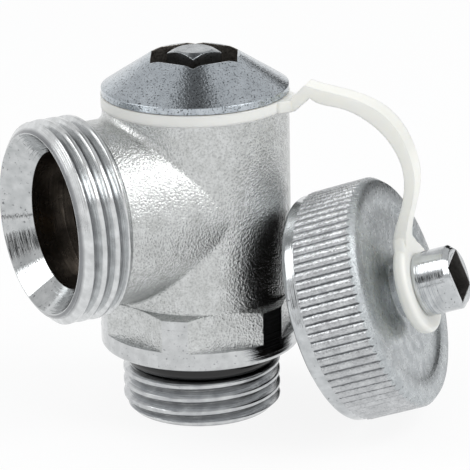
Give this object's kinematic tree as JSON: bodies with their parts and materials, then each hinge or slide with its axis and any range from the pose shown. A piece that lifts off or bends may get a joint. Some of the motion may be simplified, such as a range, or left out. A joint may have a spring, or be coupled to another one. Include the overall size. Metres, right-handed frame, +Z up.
{
  "type": "fill and drain valve",
  "caption": "Angle seat valve for filling and draining a heating system, with a threaded inlet below, a threaded side outlet, a square spindle and a knurled key cap on a strap.",
  "frame": {"origin": "centre of the inlet's bottom end face, on the spindle axis", "axes": "+Z up along the spindle axis, -X along the outlet"},
  "size_m": [0.0531, 0.0443, 0.0487],
  "materials": {
    "forged_plating": "blasted forged brass, matt nickel plated",
    "turned_plating": "turned brass, satin nickel plated",
    "cap_plating": "knurled brass, bright nickel plated",
    "spindle_brass": "nickel plated brass",
    "raw_brass": "turned brass",
    "spring_steel": "stainless steel",
    "black_rubber": "glossy black nitrile rubber",
    "grey_rubber": "matt rubber",
    "white_plastic": "milky white polyethylene"
  },
  "bodies": {
    "body": {"valve_body": "forged_plating", "bonnet": "turned_plating", "bonnet_o_ring": "black_rubber", "connection_o_ring": "black_rubber"},
    "spindle": {"spindle": "spindle_brass", "spindle_o_rings": "black_rubber", "spindle_clip": "spring_steel"},
    "plug": {"valve_plug": "raw_brass", "seat_washer": "black_rubber", "washer_screw": "spring_steel"},
    "tether": {"cap_tether": "white_plastic"},
    "cap": {"cap": "cap_plating", "cap_gasket": "grey_rubber"}
  },
  "joints": [
    {"name": "spindle_turn", "type": "hinge", "parent": "body", "child": "spindle", "pos_m": [0, 0, 0.04], "axis": [0, 0, 1], "range_deg": [0, 720]},
    {"name": "plug_lift", "type": "slide", "parent": "body", "child": "plug", "axis": [0, 0, 1], "range_m": [0, 0.003]},
    {"name": "tether_swivel", "type": "hinge", "parent": "body", "child": "tether", "pos_m": [0, 0, 0.0422], "axis": [0, 0, 1], "range_deg": [-50, 145]},
    {"name": "cap_spin", "type": "hinge", "parent": "tether", "child": "cap", "pos_m": [0.02007, -0.02206, 0.01891], "axis": [0.6344, -0.6972, 0.3338], "continuous": true}
  ],
  "couplings": [
    {"joint": "spindle_turn", "follows": "plug_lift", "rad_per_m": 4188.8}
  ]
}
